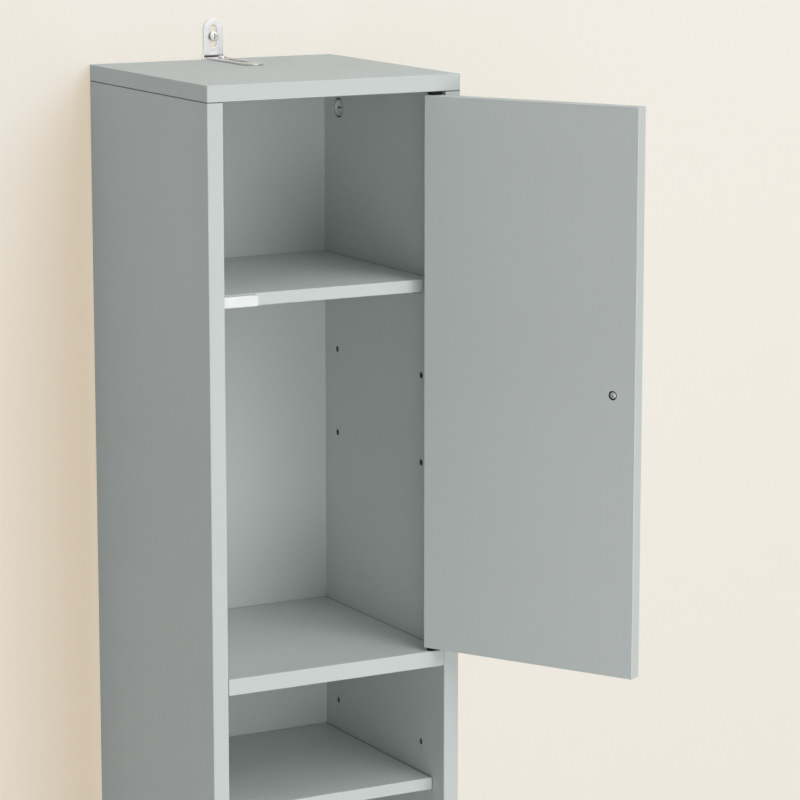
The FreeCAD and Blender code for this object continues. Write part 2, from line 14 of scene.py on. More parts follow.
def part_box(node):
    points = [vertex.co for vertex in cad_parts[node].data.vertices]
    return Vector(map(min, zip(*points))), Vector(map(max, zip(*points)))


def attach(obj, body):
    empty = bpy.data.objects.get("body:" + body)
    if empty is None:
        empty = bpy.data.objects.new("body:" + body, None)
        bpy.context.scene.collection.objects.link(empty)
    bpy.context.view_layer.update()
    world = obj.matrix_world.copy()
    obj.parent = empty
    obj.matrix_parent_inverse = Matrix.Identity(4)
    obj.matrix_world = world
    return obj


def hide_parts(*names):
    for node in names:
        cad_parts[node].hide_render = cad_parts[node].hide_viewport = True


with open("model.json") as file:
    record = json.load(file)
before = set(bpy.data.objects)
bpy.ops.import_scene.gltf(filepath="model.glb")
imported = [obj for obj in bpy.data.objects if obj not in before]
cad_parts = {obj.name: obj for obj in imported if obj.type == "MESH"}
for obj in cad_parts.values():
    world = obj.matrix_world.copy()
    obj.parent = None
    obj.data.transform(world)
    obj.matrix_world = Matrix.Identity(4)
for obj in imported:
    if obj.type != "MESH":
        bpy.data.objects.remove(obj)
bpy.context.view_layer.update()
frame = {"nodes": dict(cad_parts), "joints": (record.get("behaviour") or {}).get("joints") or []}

MM = 0.001
MERGE_GAP = 0.0005  # millimetres
CUT_GAP = 0.0001
SHARP_ANGLE = math.radians(38)
LUMPS = (0.3, 0.7)
log = logging.getLogger("cabinet")

Colour = tuple[float, float, float]
Outline = Sequence[tuple[float, float]]


def toned(colour: Colour, factor: float) -> Colour:
    """A colour made darker or lighter by a factor."""
    return tuple(factor * part for part in colour)


# Shader arithmetic


class Shade:
    """A shader socket that takes part in arithmetic."""

    def __init__(self, tree: "ShaderTree", socket: bpy.types.NodeSocket) -> None:
        """Keeps the tree and the socket that the value comes from."""
        self.tree = tree
        self.socket = socket

    def _math(self, operation: str, *operands: "Operand") -> "Shade":
        """The result of one Math node, with its operands in the order of its inputs."""
        return self.tree.add("ShaderNodeMath", {"operation": operation}, dict(enumerate(operands)))

    def __add__(self, other: "Operand") -> "Shade":
        """self + other"""
        return self._math("ADD", self, other)

    __radd__ = __add__

    def __sub__(self, other: "Operand") -> "Shade":
        """self - other"""
        return self._math("SUBTRACT", self, other)

    def __rsub__(self, other: "Operand") -> "Shade":
        """other - self"""
        return self._math("SUBTRACT", other, self)

    def __mul__(self, other: "Operand") -> "Shade":
        """self * other"""
        return self._math("MULTIPLY", self, other)

    __rmul__ = __mul__

    def __abs__(self) -> "Shade":
        """abs(self)"""
        return self._math("ABSOLUTE", self)

    def least(self, other: "Operand") -> "Shade":
        """The smaller of two values."""
        return self._math("MINIMUM", self, other)

    def most(self, other: "Operand") -> "Shade":
        """The larger of two values."""
        return self._math("MAXIMUM", self, other)

    def wave(self) -> "Shade":
        """The sine of an angle."""
        return self._math("SINE", self)

    def across(self, other: "Shade") -> "Shade":
        """The length of two legs at a right angle."""
        return self._math("SQRT", self * self + other * other)

    def rise(self, low: float, high: float) -> "Shade":
        """A smooth step from 0 at the low value to 1 at the high one."""
        return self.tree.add(
            "ShaderNodeMapRange",
            {"interpolation_type": "SMOOTHSTEP"},
            {"Value": self, "From Min": low, "From Max": high},
        )


Operand = Union[Shade, float]


class ShaderTree:
    """The node tree of a material or a world."""

    def __init__(self, owner: Union[bpy.types.Material, bpy.types.World]) -> None:
        """Empties the owner's tree.

        Args:
            owner: The material or world that the tree belongs to.
        """
        owner.use_nodes = True
        self.owner = owner
        self.nodes = owner.node_tree.nodes
        self.links = owner.node_tree.links
        self.nodes.clear()

    @classmethod
    def named(cls, name: str) -> "ShaderTree":
        """Starts the tree of a new material."""
        return cls(bpy.data.materials.new(name))

    def add(
        self,
        kind: str,
        settings: Optional[dict[str, Any]] = None,
        sockets: Optional[dict[Union[int, str], Any]] = None,
        output: Union[int, str] = 0,
    ) -> Shade:
        """Adds one node.

        Args:
            kind: The node's type.
            settings: The node's own properties, set first.
            sockets: Values or links of its inputs.
            output: The output that the result comes from.

        Returns:
            That output.
        """
        node = self.nodes.new(kind)
        for key, value in (settings or {}).items():
            setattr(node, key, value)
        for key, value in (sockets or {}).items():
            if isinstance(value, Shade):
                self.links.new(value.socket, node.inputs[key])
            else:
                node.inputs[key].default_value = value
        return Shade(self, node.outputs[output] if node.outputs else None)

    def place(
        self, shift: Sequence[float] = (0, 0, 0), turn: float = 0.0, stretch: Sequence[float] = (1, 1, 1)
    ) -> Shade:
        """The piece's own coordinates, moved, turned about Z and stretched.

        Args:
            shift: Added after the turn, in metres.
            turn: Angle about Z.
            stretch: Factor for each axis, before the turn.

        Returns:
            The coordinates.
        """
        own = self.add("ShaderNodeTexCoord", output="Object")
        return self.add(
            "ShaderNodeMapping",
            {"vector_type": "POINT"},
            {"Vector": own, "Location": shift, "Rotation": (0, 0, turn), "Scale": stretch},
        )

    def split(self, vector: Shade) -> tuple[Shade, Shade, Shade]:
        """The three parts of a vector."""
        parts = self.add("ShaderNodeSeparateXYZ", sockets={"Vector": vector}).socket.node
        return tuple(Shade(self, socket) for socket in parts.outputs)

    def noise(self, vector: Shade, scale: float, detail: float = 2.0) -> Shade:
        """Soft noise about 0.5, in lumps to the metre with finer layers of detail on top."""
        return self.add("ShaderNodeTexNoise", sockets={"Vector": vector, "Scale": scale, "Detail": detail})

    def blend(self, share: Operand, first: Any, second: Any) -> Shade:
        """A colour between two others.

        Args:
            share: How much of the second one.
            first: A colour or a link.
            second: A colour or a link.

        Returns:
            The mixed colour.
        """
        ends = {6: first, 7: second}
        solid = {key: end if isinstance(end, Shade) else (*end, 1.0) for key, end in ends.items()}
        return self.add("ShaderNodeMix", {"data_type": "RGBA"}, {0: share, **solid}, output=2)

    def relief(self, height: Shade, depth: float) -> Shade:
        """A bump normal from a height of 0 to 1, which is depth metres in full."""
        return self.add("ShaderNodeBump", sockets={"Strength": 1.0, "Distance": depth, "Height": height})

    def surface(self, **sockets: Any) -> bpy.types.Material:
        """Closes the tree with a principled surface. Its inputs are named with underscores for spaces."""
        named = {key.replace("_", " "): value for key, value in sockets.items()}
        return self.close(self.add("ShaderNodeBsdfPrincipled", sockets=named))

    def close(self, shader: Shade, output: str = "ShaderNodeOutputMaterial") -> Any:
        """Links a finished shader to the owner's output, and gives the owner back."""
        self.add(output, sockets={"Surface": shader})
        return self.owner

    def rays(self, kind: str) -> Shade:
        """1 for rays of one kind, and otherwise 0."""
        return self.add("ShaderNodeLightPath", output=f"Is {kind} Ray")

    def backdrop_rays(self) -> Shade:
        """1 for the rays that see the backdrop: from the camera, off gloss and through glass."""
        return self.rays("Camera").most(self.rays("Glossy")).most(self.rays("Transmission"))


# Places


@dataclass(frozen=True)
class Swing:
    """How a door leaf stands from its shut place: the hinge line's foot and the angle about it."""

    pivot: Vector = field(default_factory=Vector)
    angle: float = 0.0

    @classmethod
    def at_rest(cls, joint: str) -> "Swing":
        """The swing of a door at rest, from the joint's own range."""
        hinge = next(entry for entry in frame["joints"] if entry["name"] == joint)
        return cls(Vector(hinge["pos_m"]), -math.radians(hinge["range_deg"][0]))

    def matrix(self) -> Matrix:
        """Brings the shut place to the rest place, in metres."""
        turn = Matrix.Rotation(self.angle, 4, "Z")
        return Matrix.Translation(self.pivot) @ turn @ Matrix.Translation(-self.pivot)

    def coordinates(self, tree: ShaderTree, origin: Vector) -> Shade:
        """Coordinates about a point of the shut place, square to its edges."""
        return tree.place(self.matrix().inverted().translation - origin, -self.angle)


@dataclass(frozen=True)
class BoardPlace:
    """A board's middle and half sizes with its door shut, and the swing that it stands at."""

    node: str
    middle: Vector
    half: Vector
    swing: Swing

    @classmethod
    def of(cls, node: str, swing: Swing = Swing()) -> "BoardPlace":
        """Measures a board's solid.

        Args:
            node: The board's name.
            swing: How its door stands.

        Returns:
            The place.
        """
        back = swing.matrix().inverted()
        corners = [back @ vertex.co for vertex in frame["nodes"][node].data.vertices]
        low = Vector(min(corner[axis] for corner in corners) for axis in range(3))
        high = Vector(max(corner[axis] for corner in corners) for axis in range(3))
        return cls(node, (low + high) / 2, (high - low) / 2, swing)

    def thin_axis(self) -> int:
        """The axis of the board's thickness."""
        return min(range(3), key=lambda axis: self.half[axis])


# Finishes


@dataclass(frozen=True)
class ShadowLine:
    """The shadow painted as a dark line where a board's end closes up to another board."""

    axis: int
    sign: int
    width: float = 0.5 * MM
    faces_only: bool = False


@dataclass(frozen=True)
class Melamine:
    """Satin melamine paper on chipboard, with taped edges and a raw core in its bores, whose near-black tone
    is partly painted shade.
    """

    name: str
    paper: Colour = (0.590, 0.631, 0.616)
    # near-black bore walls, far darker than bare chipboard: the raw core's colour with painted shade in the
    # bores
    core: Colour = (0.085, 0.084, 0.078)
    chip: Colour = (0.17, 0.164, 0.148)
    roughness: float = 0.56
    gloss: float = 0.25
    tape: float = 0.9 * MM
    skin: float = 0.6 * MM
    texture: float = 0.025 * MM
    cloud_scale: float = 4.5
    rub_scale: float = 46.0
    pearl_scale: float = 1300.0
    chip_scale: float = 620.0

    def material(self, place: BoardPlace, lines: Sequence[ShadowLine] = ()) -> bpy.types.Material:
        """Dresses one board.

        Args:
            place: Where the board lies, for its edges and bores.
            lines: The shadow lines painted at its joints.

        Returns:
            The material.
        """
        tree = ShaderTree.named(f"{self.name}_{place.node}")
        own = place.swing.coordinates(tree, place.middle)
        parts = tree.split(own)
        gaps = [half - abs(part) for half, part in zip(place.half, parts)]
        smaller, larger = gaps[0].least(gaps[1]), gaps[0].most(gaps[1])
        under_skin = smaller.least(gaps[2])
        to_edge = smaller.most(larger.least(gaps[2]))
        on_face = 1 - gaps[place.thin_axis()].rise(0.15 * MM, 0.3 * MM)

        cloud = tree.noise(own, self.cloud_scale, 3.0).rise(*LUMPS)
        rub = tree.noise(own, self.rub_scale, 4.0).rise(0.42, 0.68)
        pearl = tree.noise(own, self.pearl_scale)
        # lighter along every edge: partly wear, partly a painted highlight on the arrises
        worn_and_highlit_edge = (1 - to_edge.rise(0.1 * MM, 0.9 * MM)) * (0.25 + 0.75 * rub)
        seam = (1 - abs(to_edge - self.tape).rise(0.06 * MM, 0.2 * MM)) * on_face
        raw = under_skin.rise(self.skin - 0.1 * MM, self.skin)

        colour = tree.blend(cloud, toned(self.paper, 0.985), toned(self.paper, 1.015))
        colour = tree.blend((pearl - 0.5) * 0.12 + 0.06, colour, toned(self.paper, 0.9))
        colour = tree.blend(worn_and_highlit_edge * 0.45, colour, toned(self.paper, 1.25))
        colour = tree.blend(seam * 0.14, colour, toned(self.paper, 0.6))
        # painted shadow along each joint, darkest at the joint and fading within its width
        for line in lines:
            to_joint = place.half[line.axis] - parts[line.axis] * line.sign
            shadow = to_joint.rise(0.02 * MM, 0.06 * MM) * (1 - to_joint.rise(0.7 * line.width, line.width))
            shown = shadow * on_face if line.faces_only else shadow
            colour = tree.blend(shown * 0.85, colour, toned(self.paper, 0.12))
        chips = tree.add("ShaderNodeTexVoronoi", sockets={"Vector": own, "Scale": self.chip_scale})
        # the bores' walls take the near-black core tones, which carry painted shade
        colour = tree.blend(raw, colour, tree.blend(chips.rise(0.2, 0.75), self.chip, self.core))

        smooth = self.roughness + 0.07 * (rub - 0.5) + 0.03 * (pearl - 0.5)
        return tree.surface(
            Base_Color=colour,
            Roughness=(smooth + raw * 0.4).least(0.95),
            Normal=tree.relief(pearl * (1 - raw) + chips * raw, self.texture),
            Specular_IOR_Level=self.gloss,
        )


@dataclass(frozen=True)
class PlatedSteel:
    """Plated or cast metal with a drawn grain and cloudy plating, and a band of painted shade inside a bend
    where one is given.
    """

    name: str
    metal: Colour
    roughness: float
    grain: Sequence[float] = (1.0, 1.0, 12.0)
    cloud: float = 0.08
    grain_depth: float = 0.004 * MM
    metallic: float = 1.0
    # width of the band of painted shade inside a bend
    bend_shade_width: float = 1.7 * MM

    def material(self, bend_shade_at: Optional[Vector] = None) -> bpy.types.Material:
        """Makes the metal.

        Args:
            bend_shade_at: A point inside a bend along X, about which a dark band of painted shade is laid, in
                metres.

        Returns:
            The material.
        """
        tree = ShaderTree.named(self.name)
        own = tree.place()
        spangle = tree.noise(own, 260.0, 3.0).rise(*LUMPS)
        drawn = tree.noise(tree.place(stretch=self.grain), 2600.0)
        stain = tree.noise(own, 90.0, 4.0).rise(0.5, 0.75)
        colour = tree.blend(spangle, toned(self.metal, 1.0 - 1.6 * self.cloud), self.metal)
        colour = tree.blend(stain * self.cloud * 2.0, colour, toned(self.metal, 0.7))
        # a dark band painted as shade and reflection along the inside of the bend
        if bend_shade_at:
            _, y, z = tree.split(tree.place(-bend_shade_at))
            painted_bend_shade = 1 - y.across(z).rise(0.3 * self.bend_shade_width, self.bend_shade_width)
            colour = tree.blend(painted_bend_shade, colour, toned(self.metal, 0.08))
        return tree.surface(
            Base_Color=colour,
            Metallic=self.metallic,
            Roughness=self.roughness + 0.10 * (drawn - 0.5) + 0.08 * stain,
            Normal=tree.relief(drawn, self.grain_depth),
        )


@dataclass(frozen=True)
class TurnedNickel:
    """Satin nickel with fine lathe rings about a knob's axis."""

    name: str
    metal: Colour = (0.66, 0.645, 0.615)
    roughness: float = 0.3
    ring_pitch: float = 0.16 * MM
    ring_depth: float = 0.003 * MM

    def material(self, seat: Vector, swing: Swing) -> bpy.types.Material:
        """Makes the metal.

        Args:
            seat: The middle of the knob's foot with its door shut, in metres.
            swing: How the door stands.

        Returns:
            The material.
        """
        tree = ShaderTree.named(self.name)
        own = swing.coordinates(tree, seat)
        x, y, z = tree.split(own)
        wander = tree.noise(own, 900.0)
        rings = (x.across(z) * (math.tau / self.ring_pitch) + wander * 5.0 + y * 9000.0).wave()
        handled = tree.noise(own, 150.0, 3.0).rise(0.42, 0.72)
        colour = tree.blend(handled * 0.6, self.metal, toned(self.metal, 0.84))
        return tree.surface(
            Base_Color=tree.blend(rings * 0.03 + 0.03, colour, toned(self.metal, 0.7)),
            Metallic=1.0,
            Roughness=self.roughness + 0.04 * rings + 0.10 * handled,
            Normal=tree.relief(rings * 0.5 + 0.5, self.ring_depth),
        )


@dataclass(frozen=True)
class MouldedPlastic:
    """Moulded plastic with the mould's fine sparked texture."""

    name: str
    body: Colour
    scuff: Colour
    roughness: float = 0.5
    gloss: float = 0.45
    texture: float = 0.02 * MM

    def material(self) -> bpy.types.Material:
        """Makes the plastic.

        Returns:
            The material.
        """
        tree = ShaderTree.named(self.name)
        own = tree.place()
        spark = tree.noise(own, 2400.0)
        flow = tree.noise(own, 120.0, 3.0).rise(*LUMPS)
        scuffed = tree.noise(tree.place(stretch=(1.0, 1.0, 5.0)), 420.0, 4.0).rise(0.56, 0.74)
        colour = tree.blend(flow, self.body, toned(self.body, 0.94))
        return tree.surface(
            Base_Color=tree.blend(scuffed * 0.4, colour, self.scuff),
            Roughness=self.roughness + 0.12 * scuffed + 0.08 * (spark - 0.5),
            Normal=tree.relief(spark, self.texture),
            Specular_IOR_Level=self.gloss,
        )


@dataclass(frozen=True)
class Beech:
    """Bare beech with its short dark flecks, drawn along X or Z."""

    name: str
    light: Colour = (0.66, 0.47, 0.29)
    dark: Colour = (0.47, 0.30, 0.17)
    roughness: float = 0.62
    texture: float = 0.05 * MM

    def material(self) -> bpy.types.Material:
        """Makes the wood.

        Returns:
            The material.
        """
        tree = ShaderTree.named(self.name)
        grain = tree.noise(tree.place(stretch=(0.12, 1.0, 0.3)), 900.0, 4.0)
        fleck = tree.noise(tree.place(stretch=(0.2, 1.0, 0.4)), 2600.0).rise(0.58, 0.68)
        colour = tree.blend(grain.rise(*LUMPS), self.light, self.dark)
        return tree.surface(
            Base_Color=tree.blend(fleck * 0.5, colour, toned(self.dark, 0.5)),
            Roughness=self.roughness + 0.15 * grain,
            Normal=tree.relief(grain, self.texture),
        )


class Slot(Enum):
    """The record's material slots, one passed with each fitted piece."""

    STOP = "stop"
    PIVOT = "pivot"
    GLIDE = "glide"
    PIN = "pin"
    ZINC = "zinc"
    NICKEL = "nickel"
    BRACKET = "bracket"
    SCREW = "screw"


class Body(Enum):
    """The bodies that pieces ride on."""

    CARCASS = "carcass"
    UPPER_LEAF = "upper_door_leaf"
    LOWER_LEAF = "lower_door_leaf"


class Finishes:
    """Every finish of the cabinet, each made once."""

    def __init__(self) -> None:
        """Makes the finishes that all pieces of a kind share."""
        self.board = Melamine("satin_grey_melamine")
        self.back = Melamine("satin_grey_back", roughness=0.6, tape=0.0)
        self.nickel = TurnedNickel("satin_nickel")
        self.zinc = PlatedSteel(
            "cast_zinc", (0.72, 0.74, 0.73), 0.4, (1, 1, 1), cloud=0.1, grain_depth=0.012 * MM, metallic=0.35
        ).material()
        self.bracket = PlatedSteel("bright_zinc_plate", (0.56, 0.565, 0.59), 0.33, (14, 1, 1), cloud=0.05)
        self.screw = PlatedSteel("zinc_plated_screw", (0.60, 0.60, 0.595), 0.3).material()
        self.knob_screw = PlatedSteel("dull_zinc_screw", (0.60, 0.615, 0.61), 0.3).material()
        self.pin = PlatedSteel("nickel_plated_pin", (0.70, 0.69, 0.66), 0.22, (12, 1, 1)).material()
        self.pivot = MouldedPlastic("black_pivot_plastic", (0.006,) * 3, (0.02,) * 3, 0.55, 0.15).material()
        self.stop = MouldedPlastic("white_stop_plastic", (0.87, 0.89, 0.89), (0.80, 0.815, 0.81)).material()
        self.glide = MouldedPlastic("pale_glide_plastic", (0.70, 0.70, 0.69), (0.50, 0.49, 0.47)).material()
        self.beech = Beech("bare_beech").material()


# Shaping


class Blank:
    """A mesh in the making, in millimetres, with the shaping steps that the fittings share."""

    def __init__(self) -> None:
        """Starts with nothing."""
        self.bm = bmesh.new()

    @classmethod
    def turned(cls, outline: Outline, rounding: float = 0.0, steps: int = 48) -> "Blank":
        """Turns an outline about +Z.

        Args:
            outline: Corners as (radius, height), from the axis to the axis.
            rounding: Radius given to each corner that is off the axis.
            steps: Facets round the axis.

        Returns:
            The turned blank.
        """
        blank = cls()
        corners = [blank.bm.verts.new((radius, 0, height)) for radius, height in outline]
        for pair in zip(corners, corners[1:]):
            blank.bm.edges.new(pair)
        if rounding:
            bmesh.ops.bevel(
                blank.bm, geom=corners[1:-1], offset=rounding, offset_type="OFFSET", segments=3,
                profile=0.5, affect="VERTICES", material=-1, clamp_overlap=True,
            )
        bmesh.ops.spin(
            blank.bm, geom=blank.everything(), cent=(0, 0, 0), axis=(0, 0, 1),
            dvec=(0, 0, 0), angle=math.tau, steps=steps, use_merge=True,
        )
        return blank.close()

    @classmethod
    def block(cls, low: Vector, high: Vector, rounding: float) -> "Blank":
        """A block between two corners with rounded edges.

        Args:
            low: The lowest corner.
            high: The highest corner.
            rounding: Radius of its edges.

        Returns:
            The block.
        """
        blank = cls()
        place = Matrix.LocRotScale((low + high) / 2, None, high - low)
        bmesh.ops.create_cube(blank.bm, size=1.0, matrix=place)
        return blank.ease(rounding, segments=4)

    def everything(self) -> list[Any]:
        """All vertices, edges and faces."""
        return self.bm.verts[:] + self.bm.edges[:] + self.bm.faces[:]

    def close(self) -> "Blank":
        """Merges doubles and turns every face outwards.

        Returns:
            The same blank.
        """
        bmesh.ops.remove_doubles(self.bm, verts=self.bm.verts, dist=MERGE_GAP)
        bmesh.ops.recalc_face_normals(self.bm, faces=self.bm.faces)
        return self

    def cut(self, parts: list[Any], point: Sequence[float], normal: Sequence[float], **options: Any) -> None:
        """Cuts some of the mesh's parts along a plane."""
        bmesh.ops.bisect_plane(
            self.bm, geom=parts, dist=CUT_GAP, plane_co=point, plane_no=normal, **options
        )

    def cap(self) -> "Blank":
        """Fills every hole and closes the mesh."""
        bmesh.ops.holes_fill(self.bm, edges=[edge for edge in self.bm.edges if edge.is_boundary], sides=0)
        return self.close()

    def ease(self, width: float, segments: int, sharper_than: float = 40.0) -> "Blank":
        """Rounds the sharp edges.

        Args:
            width: Width of the rounding.
            segments: Facets across it.
            sharper_than: Least angle between an edge's faces, in degrees.

        Returns:
            The same blank.
        """
        limit = math.radians(sharper_than)
        sharp = [edge for edge in self.bm.edges if edge.is_manifold and edge.calc_face_angle() > limit]
        bmesh.ops.bevel(
            self.bm, geom=sharp, offset=width, offset_type="OFFSET", segments=segments,
            profile=0.5, affect="EDGES", material=-1, clamp_overlap=True,
        )
        return self

    def recess(
        self, length: float, width: float, depth: float, taper: float = 0.15, arms: int = 2
    ) -> "Blank":
        """Sinks a driver recess into the top.

        Args:
            length: Across the recess.
            width: Of one arm.
            depth: Below the top.
            taper: How much the walls lean in.
            arms: 2 for a cross, and 1 for a slot along X.

        Returns:
            The same blank.
        """
        crown = max(vertex.co.z for vertex in self.bm.verts) - depth
        for axis in (Vector((1, 0, 0)), Vector((0, 1, 0))):
            for offset in (-length / 2, -width / 2, width / 2, length / 2):
                faces = self._facing_up(crown)
                edges = {edge for face in faces for edge in face.edges}
                verts = {vertex for face in faces for vertex in face.verts}
                self.cut([*verts, *edges, *faces], axis * offset, axis)
        inside = []
        for face in self._facing_up(crown):
            middle = face.calc_center_median()
            aside, along = abs(middle.y), abs(middle.x)
            if arms > 1 and aside > along:
                aside, along = along, aside
            if aside < width / 2 and along < length / 2:
                inside.append(face)
        bmesh.ops.inset_region(
            self.bm, faces=inside, thickness=taper, depth=-depth, use_boundary=True, use_even_offset=True
        )
        return self

    def _facing_up(self, above: float) -> list[bmesh.types.BMFace]:
        """The faces above a height that look up."""
        return [
            face for face in self.bm.faces if face.normal.z > 0.5 and face.calc_center_median().z > above
        ]

    def slice(self, point: Sequence[float], away: Sequence[float]) -> "Blank":
        """Cuts off what lies beyond a plane and closes the cut.

        Args:
            point: A point of the plane.
            away: The direction of what is cut off.

        Returns:
            The same blank.
        """
        self.cut(self.everything(), point, away, clear_outer=True)
        return self.cap()

    def thread(self, radius: float, height: float, pitch: float, start: float, turns: int) -> "Blank":
        """Winds a thread's ridge about +Z.

        Args:
            radius: Of the core that it stands on.
            height: Of the ridge.
            pitch: Rise in one turn.
            start: Height of its lower end.
            turns: How many.

        Returns:
            The same blank.
        """
        ridge = Blank()
        root, flank, facets = radius - 0.1, pitch * 0.3, 24
        profile = ((root, -flank), (radius + height, 0.0), (root, flank))
        corners = [ridge.bm.verts.new((out, 0, start + rise)) for out, rise in profile]
        for pair in zip(corners, corners[1:] + corners[:1]):
            ridge.bm.edges.new(pair)
        bmesh.ops.spin(
            ridge.bm, geom=ridge.everything(), cent=(0, 0, 0), axis=(0, 0, 1), dvec=(0, 0, pitch / facets),
            angle=math.tau * turns, steps=facets * turns, use_merge=False,
        )
        return self.take(ridge.cap())

    def aim(self, origin: Sequence[float], axis: Sequence[float]) -> "Blank":
        """Moves a blank that was made along +Z.

        Args:
            origin: Where its own origin goes.
            axis: Where its +Z points.

        Returns:
            The same blank.
        """
        turn = Vector(axis).to_track_quat("Z", "Y").to_matrix().to_4x4()
        bmesh.ops.transform(self.bm, matrix=Matrix.Translation(origin) @ turn, verts=self.bm.verts)
        return self

    def take(self, other: "Blank") -> "Blank":
        """Adds another blank's mesh to this one.

        Args:
            other: The blank that is used up.

        Returns:
            The same blank.
        """
        passing = bpy.data.meshes.new("passing")
        other.bm.to_mesh(passing)
        other.bm.free()
        self.bm.from_mesh(passing)
        bpy.data.meshes.remove(passing)
        return self

    def fit(
        self, node: str, suffix: str, finish: bpy.types.Material, slot: Slot,
        body: Body = Body.CARCASS, swing: Swing = Swing(),
    ) -> bpy.types.Object:
        """Makes the finished piece that stands for a CAD node.

        Args:
            node: The node that it stands for.
            suffix: Ending of the piece's name.
            finish: Its material.
            slot: Not used.
            body: What it rides on.
            swing: How its door stands.

        Returns:
            The piece.
        """
        name = f"{node}_{suffix}"
        bmesh.ops.scale(self.bm, vec=(MM, MM, MM), verts=self.bm.verts)
        bmesh.ops.transform(self.bm, matrix=swing.matrix(), verts=self.bm.verts)
        mesh = bpy.data.meshes.new(name)
        self.bm.to_mesh(mesh)
        self.bm.free()
        mesh.polygons.foreach_set("use_smooth", [True] * len(mesh.polygons))
        mesh.set_sharp_from_angle(angle=SHARP_ANGLE)
        mesh.materials.append(finish)
        piece = bpy.data.objects.new(name, mesh)
        bpy.context.scene.collection.objects.link(piece)
        piece.modifiers.new("weighted", "WEIGHTED_NORMAL").keep_sharp = True
        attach(piece, body.value)
        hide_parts(node)
        log.info("%s: %d faces on %s", name, len(mesh.polygons), body.value)
        return piece


def dress(node: str, finish: bpy.types.Material) -> None:
    """Gives a CAD node its finish.

    Args:
        node: The node.
        finish: Its material.
    """
    for held in frame["nodes"][node].material_slots:
        held.material = finish
    log.info("%s: dressed in %s", node, finish.name)


def corners_mm(node: str) -> tuple[Vector, Vector]:
    """The lowest and highest corners of a node, in millimetres."""
    low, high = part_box(node)
    return low / MM, high / MM


# Sub-assemblies


@dataclass
class Carcass:
    """The boards that stand still, and the joints inside them."""

    finishes: Finishes
    boards: tuple[str, ...] = (
        "top_panel", "left_side_panel", "right_side_panel", "upper_fixed_shelf", "lower_fixed_shelf",
        "bottom_panel", "kick_board", "upper_adjustable_shelf", "middle_adjustable_shelf",
        "lower_adjustable_shelf",
    )

    def build(self) -> None:
        """Dresses every board, and the dowels and bolts inside the joints."""
        for node in self.boards:
            dress(node, self.finishes.board.material(BoardPlace.of(node), self.shadow_lines(node)))
        dress("back_panel", self.finishes.back.material(BoardPlace.of("back_panel")))
        dress("wooden_dowels", self.finishes.beech)
        dress("cam_bolts", self.finishes.screw)

    def shadow_lines(self, node: str) -> tuple[ShadowLine, ...]:
        """The shadow lines painted where a board closes up to its neighbours.

        Args:
            node: The board.

        Returns:
            Its lines.
        """
        if node == "top_panel":
            return (ShadowLine(2, -1),)
        if node.endswith("side_panel"):
            return (ShadowLine(2, 1),)
        on_faces = tuple(ShadowLine(0, sign, 1.1 * MM, True) for sign in (-1, 1))
        if node.endswith("adjustable_shelf"):
            return on_faces
        return (*on_faces, ShadowLine(0, -1), ShadowLine(0, 1), ShadowLine(1, 1, 0.8 * MM, True))


@dataclass
class CamLocks:
    """Cast cam locks with a rim in an open ring, a driver slot and a raised arrow."""

    finishes: Finishes
    radius: float = 7.5
    depth: float = 9.5
    ring: float = 1.3
    ring_depth: float = 6.0
    rim: float = 0.9
    sunk: float = 1.2
    line_from_rear: float = 36.0
    from_seam: float = 25.5
    slot_length: float = 8.4
    slot_width: float = 1.9
    slot_depth: float = 5.0
    slot_taper: float = 0.1
    arrow: float = 0.5
    arrow_foot: float = 0.9
    arrow_crown: float = 0.7
    arrow_from_rim: float = 1.7
    rounding: float = 0.12

    def one(self) -> Blank:
        """Makes one cam, with its face at height 0.

        Returns:
            The cam.
        """
        outer = self.radius - self.ring
        inner = outer - self.rim
        cam = Blank.turned(
            [
                (0, -self.depth), (self.radius, -self.depth), (self.radius, -self.ring_depth),
                (outer, -self.ring_depth), (outer, 0), (inner, 0), (inner - 0.2, -self.sunk), (0, -self.sunk),
            ],
            self.rounding,
        )
        cam.recess(self.slot_length, self.slot_width, self.slot_depth, self.slot_taper, arms=1)
        place = Matrix.Translation((0, inner - self.arrow_from_rim, self.arrow / 2 - self.sunk))
        bmesh.ops.create_cone(
            cam.bm, cap_ends=True, segments=3, radius1=self.arrow_foot, radius2=self.arrow_crown,
            depth=self.arrow, matrix=place,
        )
        return cam

    def build(self) -> None:
        """Sets two cams in the side panels and two in the underside of each fixed board."""
        rear = corners_mm("left_side_panel")[1].y - self.line_from_rear
        inner_x = corners_mm("right_side_panel")[0].x
        top = corners_mm("top_panel")[0].z
        cams = Blank()
        for sign in (-1, 1):
            cams.take(self.one().aim((sign * inner_x, rear, top - self.from_seam), (-sign, 0, 0)))
            for shelf in ("upper_fixed_shelf", "lower_fixed_shelf", "bottom_panel"):
                under = corners_mm(shelf)[0].z
                cams.take(self.one().aim((sign * (inner_x - self.from_seam), rear, under), (0, 0, -1)))
        cams.fit("cam_locks", "cast", self.finishes.zinc, Slot.ZINC)


